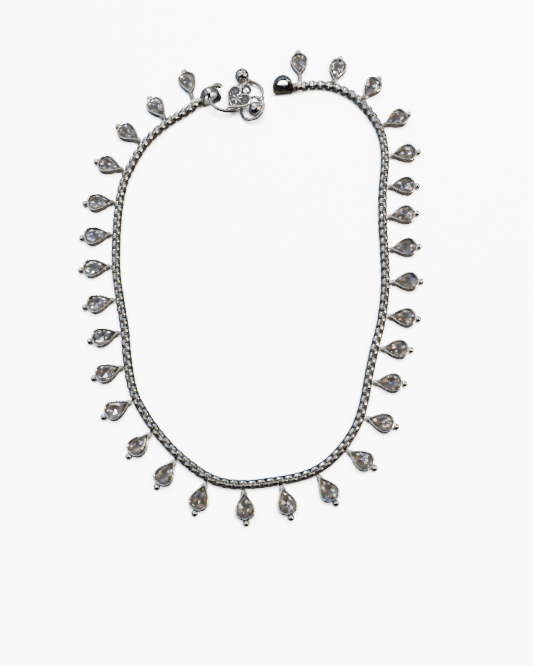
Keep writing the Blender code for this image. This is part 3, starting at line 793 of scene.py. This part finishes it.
def make_hook(look):
    """Round wire bent to an S, with its free tip hammered to a flat oval."""
    bm = bmesh.new()
    frames = []
    radius = HOOK_WIRE / 2
    for step in range(HOOK_STEPS + 1):
        along = hook_path.length * step / HOOK_STEPS
        flat_share = min(1.0, along / HOOK_FLAT_LENGTH)
        to_end = min(along, hook_path.length - along)
        rounding = min(1.0, math.sqrt(max(0.02, to_end / HOOK_TIP_LENGTH)))
        wide = radius * rounding * (1 + HOOK_FLAT_SPREAD * math.sin(math.pi * flat_share))
        thick = radius * rounding * (1 - HOOK_FLAT_THINNING * (1 - flat_share))
        place = frame_at(hook_path.at(along), hook_path.direction(along), Vector((0, 0, 1)))
        frames.append(TO_MODEL @ place @ Matrix.Diagonal((radius, wide, thick, 1)))
    swept(bm, frames, 16)
    mesh_of(bm, "hook_wire", look, ["s_hook"])


def ring_place():
    tilt = math.radians(RING_TILT)
    radius = (RING_DIAMETER - RING_WIRE) / 2
    height = RING_LIFT + RING_WIRE / 2 + radius * math.sin(tilt)
    middle = Vector((RING_PLACE[0] * MM, RING_PLACE[1] * MM, height))
    return Matrix.Translation(middle) @ Matrix.Rotation(-tilt, 4, "Y")


def heart_point(turn, inset):
    """A point on the heart's outline, with its tip near the origin and its cleft towards +X."""
    def raw(angle):
        return Vector((13 * math.cos(angle) - 5 * math.cos(2 * angle) - 2 * math.cos(3 * angle)
                       - math.cos(4 * angle), 16 * math.sin(angle) ** 3))

    low, high, reach = -17.0, 11.98, 16.0
    spot = raw(turn)
    slope = raw(turn + 0.01) - raw(turn - 0.01)
    scale = Vector((HEART_LENGTH / (high - low), HEART_WIDTH / 2 / reach))
    slope = Vector((slope.x * scale.x, slope.y * scale.y))
    inward = Vector((-slope.y, slope.x))
    if inward.length > 0:
        inward.normalize()
    point = Vector(((spot.x - low) * scale.x, spot.y * scale.y)) + inward * inset
    side = 1 if math.sin(turn) >= 0 else -1
    if point.y * side < 0:
        point.y = 0.0
    return Vector((point.x, point.y, 0))


def eyelet_middle():
    return HEART_LENGTH * HEART_CLEFT - EYELET_OVERLAP + EYELET_DIAMETER / 2


def heart_place():
    """The heart hangs from its eyelet, so a longer heart reaches further from the hook."""
    eyelet = (EYELET_PLACE[0] * MM, EYELET_PLACE[1] * MM, HEART_LEVEL)
    turned = Matrix.Translation(eyelet) @ Matrix.Rotation(math.radians(HEART_TURN), 4, "Z")
    return turned @ Matrix.Translation((-eyelet_middle(), 0, 0))


def make_heart(look, field_look):
    """The heart: a bright domed rim round a sunk dark field with a small raised flower."""
    thick, rim, sunk = HEART_THICKNESS, HEART_RIM, HEART_RECESS
    section = [(0.06 * MM, 0.0), (0.0, 0.08 * MM), (0.0, thick - 0.2 * MM),
               (0.06 * MM, thick - 0.04 * MM), (0.14 * MM, thick), (rim - 0.1 * MM, thick),
               (rim - 0.03 * MM, thick - 0.04 * MM), (rim, thick - sunk)]
    bm = bmesh.new()
    number = bm.verts.layers.int.new("number")
    verts = bmesh.ops.create_circle(bm, segments=HEART_STEPS, radius=1.0, cap_ends=True)["verts"]
    for index, vert in enumerate(verts):
        vert[number] = index
    edges = list({edge for vert in verts for edge in vert.link_edges})
    for ring, (inset, height) in enumerate(section):
        if ring:
            grown = bmesh.ops.extrude_edge_only(bm, edges=edges)["geom"]
            edges, verts = edges_in(grown), verts_in(grown)
        for vert in verts:
            turn = math.tau * (vert[number] + 0.5) / HEART_STEPS
            vert.co = heart_point(turn, inset) + Vector((0, 0, height))
    field = bmesh.ops.edgeloop_fill(bm, edges=edges, mat_nr=1)["faces"]
    bmesh.ops.triangulate(bm, faces=field)
    bmesh.ops.remove_doubles(bm, verts=bm.verts, dist=0.01 * MM)
    eyelet = Matrix.Translation((eyelet_middle(), 0, EYELET_THICKNESS / 2))
    wire = (EYELET_DIAMETER - EYELET_HOLE) / 2
    flat = eyelet @ Matrix.Diagonal((1, 1, EYELET_THICKNESS / wire, 1))
    plate = set(bm.faces)
    wire_ring(bm, EYELET_DIAMETER, wire, flat, 32, 12)
    for face in set(bm.faces) - plate:
        face.material_index = 1
    bmesh.ops.transform(bm, matrix=TO_MODEL @ heart_place(), verts=bm.verts)
    heart = mesh_of(bm, "heart_plate", look, ["heart_tag"])
    heart.data.materials.append(field_look)


def make_flower(look):
    """Plain raised work on the heart's field: a flower with leaves and an arc of dots."""
    bm = bmesh.new()
    level = HEART_THICKNESS - HEART_RECESS
    middle = Vector((FLOWER_PLACE, 0, level))
    lumps = [(middle, 0.34, 0.34, 0.0)]
    for step in range(6):
        turn = math.tau * (step + 0.5) / 6
        spot = middle + Vector((math.cos(turn), math.sin(turn), 0)) * PETAL_REACH
        lumps.append((spot, 0.48, 0.27, turn))
    for step in range(11):
        turn = math.tau * (step - 5) / 15
        spot = middle + Vector((math.cos(turn), math.sin(turn) * 1.12, 0)) * DOT_REACH
        if abs(step - 5) > 1:
            lumps.append((spot, 0.17, 0.17, 0.0))
    for side in (-1, 1):
        lumps.append((Vector((2.1 * MM, side * 0.75 * MM, level)), 0.5, 0.2, side * 0.75))
    lumps.append((Vector((1.7 * MM, 0, level)), 0.42, 0.16, 0.0))
    for spot, length, width, turn in lumps:
        place = (Matrix.Translation(spot) @ Matrix.Rotation(turn, 4, "Z")
                 @ Matrix.Diagonal((length * MM, width * MM, RELIEF_HEIGHT, 1)))
        bmesh.ops.create_uvsphere(bm, u_segments=14, v_segments=8, radius=1.0, matrix=place)
    bmesh.ops.transform(bm, matrix=TO_MODEL @ heart_place(), verts=bm.verts)
    mesh_of(bm, "heart_flower", look)


def make_tag_ring(look):
    """The small ring through the heart's eyelet and over the hook's wire."""
    eyelet = heart_place() @ Vector((eyelet_middle(), 0, EYELET_THICKNESS / 2))
    wire = hook_path.at(hook_path.nearest(TAG_ON_HOOK[0] * MM, TAG_ON_HOOK[1] * MM))
    level = Vector((wire.x - eyelet.x, wire.y - eyelet.y, 0)).normalized()
    up = Vector((0, 0, 1))
    radius = (TAG_RING_DIAMETER - TAG_RING_WIRE) / 2
    dip = math.radians(TAG_RING_DIP)
    middle = eyelet + radius * (math.cos(dip) * level - math.sin(dip) * up)
    turn = Matrix((level, up, level.cross(up))).transposed().to_4x4()
    bm = bmesh.new()
    wire_ring(bm, TAG_RING_DIAMETER, TAG_RING_WIRE, TO_MODEL @ Matrix.Translation(middle) @ turn)
    mesh_of(bm, "tag_jump_ring", look, ["tag_ring"])


def make_ring(look):
    bm = bmesh.new()
    wire_ring(bm, RING_DIAMETER, RING_WIRE, TO_MODEL @ ring_place(), 64, 16)
    mesh_of(bm, "ring_wire", look, ["charm_ring"])


def bell_centre(wire_point, ball_from_wire):
    """The middle of a bell that lies on the floor, hung at wire_point towards an angle."""
    reach = BELL_DIAMETER / 2 + BELL_LOOP_DIAMETER / 2 - BELL_LOOP_SINK
    drop = BELL_DIAMETER / 2 - wire_point.z
    level = math.sqrt(reach ** 2 - drop ** 2)
    turn = math.radians(ball_from_wire)
    return wire_point + Vector((level * math.cos(turn), level * math.sin(turn), drop))


def side_against_ring(on_ring, place):
    """The side towards which a bell hung inside the ring lies against the ring's wire."""
    radius = (RING_DIAMETER - RING_WIRE) / 2
    least = (BELL_DIAMETER + RING_WIRE) / 2 + BELL_2_CLEARANCE
    inward = place.translation - on_ring
    side = math.degrees(math.atan2(inward.y, inward.x))
    for _ in range(BELL_2_MOST_SWING):
        ball = place.inverted() @ bell_centre(on_ring, side + 1)
        if math.hypot(ball.xy.length - radius, ball.z) < least:
            break
        side += 1
    return side


def make_bell(name, wire_point, wire_direction, ball_from_wire, look):
    """A hollow ball with a seam, a slit across its far side and a loop round the wire."""
    bm = bmesh.new()
    quarter = Matrix.Rotation(math.pi / 2, 4, "Y")
    bmesh.ops.create_uvsphere(bm, u_segments=36, v_segments=24, radius=BELL_DIAMETER / 2,
                              matrix=quarter)
    for side in (-1, 1):
        bmesh.ops.bisect_plane(bm, geom=bm.verts[:] + bm.edges[:] + bm.faces[:],
                               plane_co=(0, 0, side * BELL_SLIT / 2), plane_no=(0, 0, 1))
    inside_slit = [face for face in bm.faces
                   if abs(face.calc_center_median().z) < BELL_SLIT / 2
                   and face.calc_center_median().x < -BELL_DIAMETER * BELL_SLIT_FROM]
    bmesh.ops.delete(bm, geom=inside_slit, context="FACES")
    bmesh.ops.recalc_face_normals(bm, faces=bm.faces)
    bmesh.ops.solidify(bm, geom=bm.faces[:], thickness=BELL_WALL)
    wire_ring(bm, BELL_DIAMETER + BELL_SEAM, BELL_SEAM_WIRE, quarter, 40, 6)
    loop_middle = BELL_DIAMETER / 2 + BELL_LOOP_DIAMETER / 2 - BELL_LOOP_SINK
    wire_ring(bm, BELL_LOOP_DIAMETER, BELL_LOOP_WIRE, Matrix.Translation((loop_middle, 0, 0)))

    centre = bell_centre(wire_point, ball_from_wire)
    axis = (wire_point - centre).normalized()
    normal = (wire_direction - axis * wire_direction.dot(axis)).normalized()
    turned = Matrix((axis, normal.cross(axis), normal)).transposed().to_4x4()
    bmesh.ops.transform(bm, matrix=TO_MODEL @ Matrix.Translation(centre) @ turned, verts=bm.verts)
    mesh_of(bm, f"{name}_ball", look, [name])


def make_clasp(shaded_clasp_look, heart_look, field_look, shaded_bell_look):
    make_bail("bail_near", chain_path.at(0), NEAR_BAIL_TURN, NEAR_BAIL_LEAN, 0.0,
              shaded_clasp_look)
    make_bail("bail_far", chain_path.at(chain_path.length), 180 + FAR_BAIL_TURN, FAR_BAIL_LEAN,
              FAR_BAIL_DISH, shaded_clasp_look)
    make_hook(shaded_clasp_look)
    make_ring(shaded_bell_look)
    make_heart(heart_look, field_look)
    make_flower(heart_look)
    make_tag_ring(shaded_clasp_look)
    along = hook_path.nearest(BELL_1_ON_HOOK[0] * MM, BELL_1_ON_HOOK[1] * MM)
    make_bell("bell_1", hook_path.at(along), hook_path.direction(along), BELL_1_SIDE, shaded_bell_look)
    turn = math.radians(BELL_2_ROUND_RING)
    radius = (RING_DIAMETER - RING_WIRE) / 2
    on_ring = ring_place() @ Vector((radius * math.cos(turn), radius * math.sin(turn), 0))
    round_ring = Vector((-math.sin(turn), math.cos(turn), 0))
    side = side_against_ring(on_ring, ring_place())
    make_bell("bell_2", on_ring, round_ring, side, shaded_bell_look)


def make_camera():
    data = bpy.data.cameras.new("camera")
    data.sensor_width = 36.0
    data.lens = FOCAL_LENGTH / PICTURE_HEIGHT * data.sensor_width
    data.clip_start = 0.01
    camera = bpy.data.objects.new("camera", data)
    bpy.context.scene.collection.objects.link(camera)
    camera.location = Vector(CAMERA_PLACE) + SHIFT
    camera.rotation_euler = (math.radians(CAMERA_TILT), 0, 0)
    bpy.context.scene.camera = camera


def make_floor():
    bm = bmesh.new()
    bmesh.ops.create_grid(bm, x_segments=1, y_segments=1, size=1.5)
    mesh = bpy.data.meshes.new("floor")
    bm.to_mesh(mesh)
    bm.free()
    floor = bpy.data.objects.new("floor", mesh)
    bpy.context.scene.collection.objects.link(floor)
    finish = finish_for("pale_table", {"Roughness": 0.8, "Base Color": (0.95, 0.95, 0.95, 1.0)})
    mesh.materials.append(finish.owner)
    # The silver mirrors the dim room instead of the table, as it does in the photograph.
    floor.visible_glossy = False


def area_light(name, place, size, power, colour, glossy=True):
    """A rectangular light that faces the middle of the anklet."""
    data = bpy.data.lights.new(name, "AREA")
    data.shape = "RECTANGLE"
    data.size, data.size_y = size
    data.energy = power
    data.color = colour
    light = bpy.data.objects.new(name, data)
    bpy.context.scene.collection.objects.link(light)
    light.location = place
    light.rotation_euler = (-Vector(place)).to_track_quat("-Z", "Y").to_euler()
    light.visible_glossy = glossy


def make_studio():
    """A dim room with a pale blue window behind, a warm lamp on the right and a beige table."""
    world = bpy.data.worlds.new("studio")
    bpy.context.scene.world = world
    room = Shading(world, "Background", {})
    way = room.node("ShaderNodeTexCoord", {}, {}, "Generated")
    east, north, up = (room.axis(way, name) for name in "XYZ")
    away = north * 0.8 - east * 0.6
    sky = up.between(0.10, 0.40) * (away + up * 0.55).between(0.18, 0.50)
    lamp = (east * 0.8 + up * 0.6).between(0.86, 0.95)
    blue = (1 - up.between(0.05, 0.35)) * away.between(-0.05, 0.35)
    table = (1 - up.between(-0.45, -0.15)) * (1 - away.between(-0.30, 0.10))
    clutter = room.noise(3.4, 2.0, way).between(0.40, 0.50)
    tint = room.noise(1.9, 1.0, way).between(0.44, 0.58)
    bright = room.mixed(tint, (1.5, 1.22, 0.80), (1.0, 1.32, 1.7))
    colour = room.mixed(sky, (0.008, 0.008, 0.009), bright)
    colour = room.mixed(lamp, colour, (2.6, 2.0, 1.15))
    colour = room.mixed(blue, colour, (0.17, 0.24, 0.36))
    colour = room.mixed(clutter, (0.02, 0.02, 0.022), colour)
    colour = room.mixed(table, colour, (0.20, 0.165, 0.14))
    # Past the floor's edge the room shows pale. Only the silver mirrors it.
    seen = room.node("ShaderNodeLightPath", {}, {}, "Is Camera Ray")
    room.feed("Color", room.mixed(seen, colour, (3.0, 3.0, 3.0)))
    area_light("soft_top", (0.05, 0.1, 0.6), (0.5, 0.4), TOP_POWER, (1.0, 1.0, 1.0), False)
    area_light("window", (-0.2, 0.5, 0.45), (0.12, 0.10), WINDOW_POWER, (0.75, 0.88, 1.0))
    area_light("lamp", (0.4, -0.05, 0.35), (0.05, 0.15), LAMP_POWER, (1.0, 0.86, 0.62))


def main():
    make_camera()
    chain_silver = silver("chain_silver_look", (0.84, 0.83, 0.81), 0.15, (0.11, 0.095, 0.08), 0.25)
    drop_silver = silver("drop_silver_look", (0.92, 0.91, 0.89), 0.12, (0.30, 0.26, 0.22), 0.2)
    # A darker copy of the silver for the bails, hook and tag ring: painted shade for their dimmer
    # look.
    shaded_clasp_silver = silver("clasp_silver_look", (0.60, 0.58, 0.55), 0.15, (0.05, 0.043, 0.035), 0.4)
    heart_silver = silver("heart_silver_look", (0.92, 0.91, 0.90), 0.12, (0.24, 0.20, 0.17), 0.2)
    field_silver = silver("heart_field_look", (0.075, 0.08, 0.092), 0.30,
                          (0.03, 0.028, 0.026), 0.6)
    # A darker copy of the silver for the ring and bells: painted shade for their dimmer look.
    shaded_bell_silver = silver("bell_silver_look", (0.76, 0.76, 0.76), 0.08, (0.40, 0.36, 0.31), 0.2)
    make_chain(chain_silver)
    make_drops(drop_silver, stone_finish())
    make_clasp(shaded_clasp_silver, heart_silver, field_silver, shaded_bell_silver)
    make_floor()
    make_studio()
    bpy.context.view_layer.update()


main()
